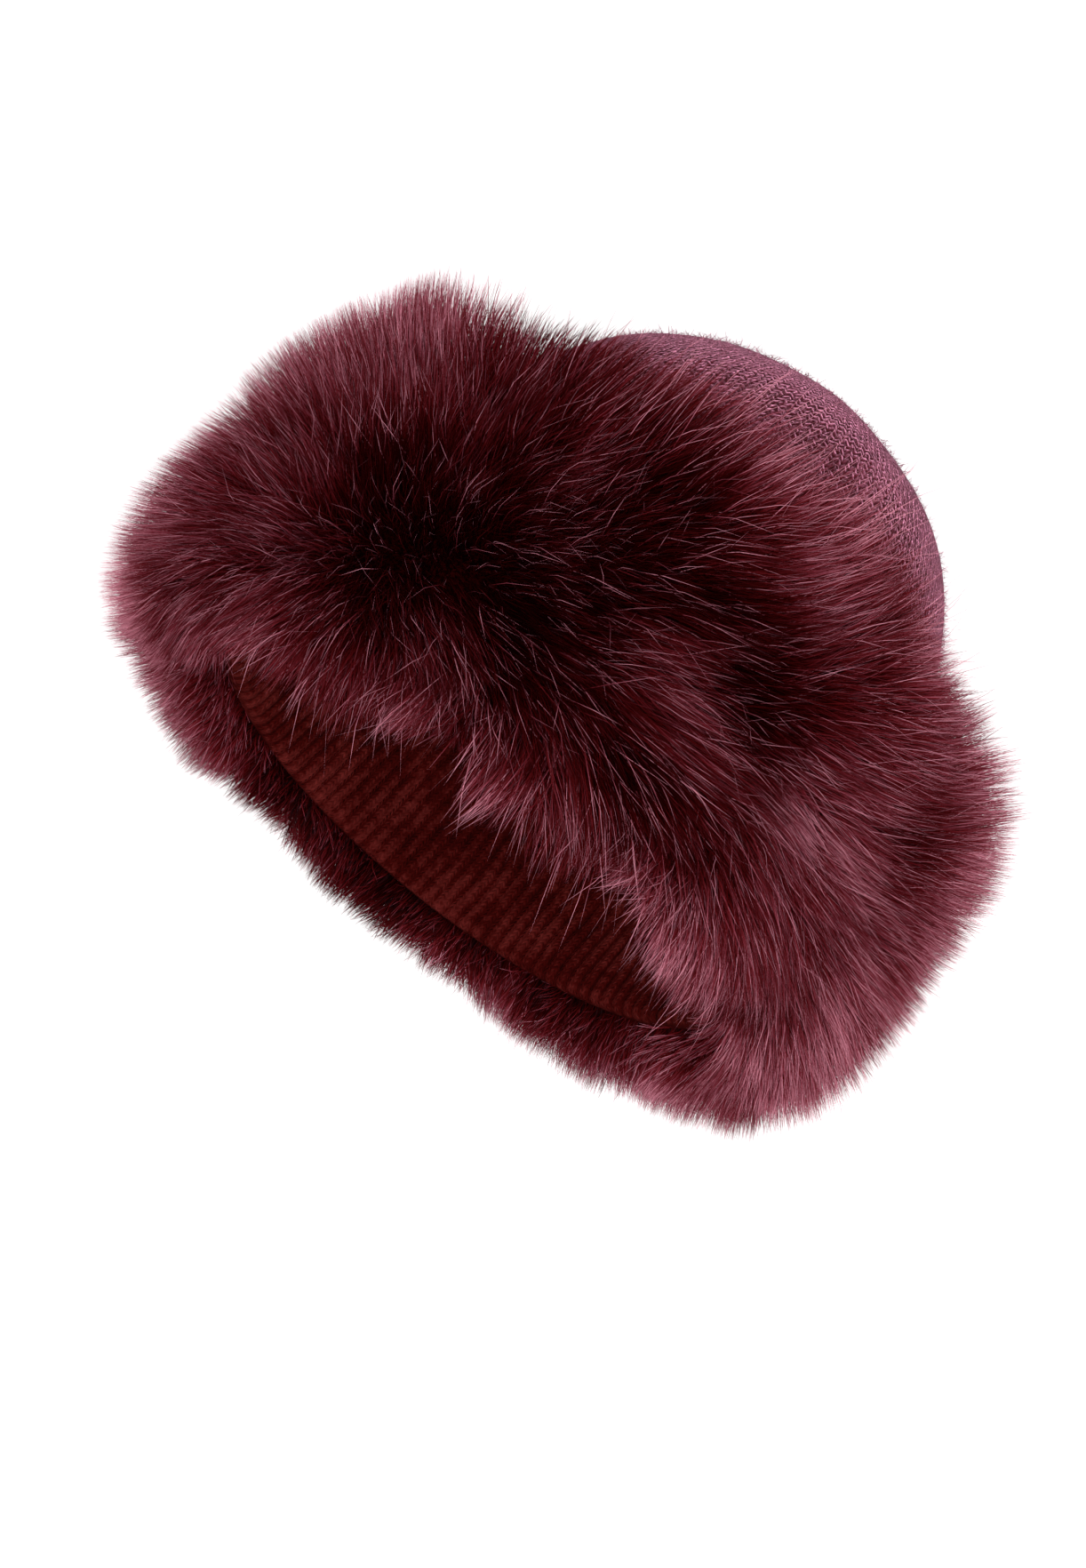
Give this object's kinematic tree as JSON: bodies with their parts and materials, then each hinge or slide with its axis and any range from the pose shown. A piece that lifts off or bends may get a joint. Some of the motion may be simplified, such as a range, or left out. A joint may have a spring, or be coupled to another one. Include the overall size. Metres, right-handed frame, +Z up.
{
  "type": "winter hat",
  "caption": "Domed knitted winter hat with a ribbed inner band and a deep long-haired fur cuff, lying on its side with the opening facing out.",
  "frame": {"origin": "on the surface that the hat lies on, at the middle of the flattened patch of fur", "axes": "+Z up from the surface, +Y level from the opening towards the crown, +X across the width of the hat"},
  "size_m": [0.2869, 0.2114, 0.2558],
  "materials": {
    "knit": "fine burgundy plain knit with a brushed, fuzzy surface",
    "ribs": "darker burgundy ribbed knit",
    "fur": "long burgundy artificial fur, dark at the roots and mauve at the tips"
  },
  "bodies": {
    "root": {"knit_crown": "knit", "ribbed_band": "ribs", "fur_cuff": "fur"}
  },
  "joints": []
}
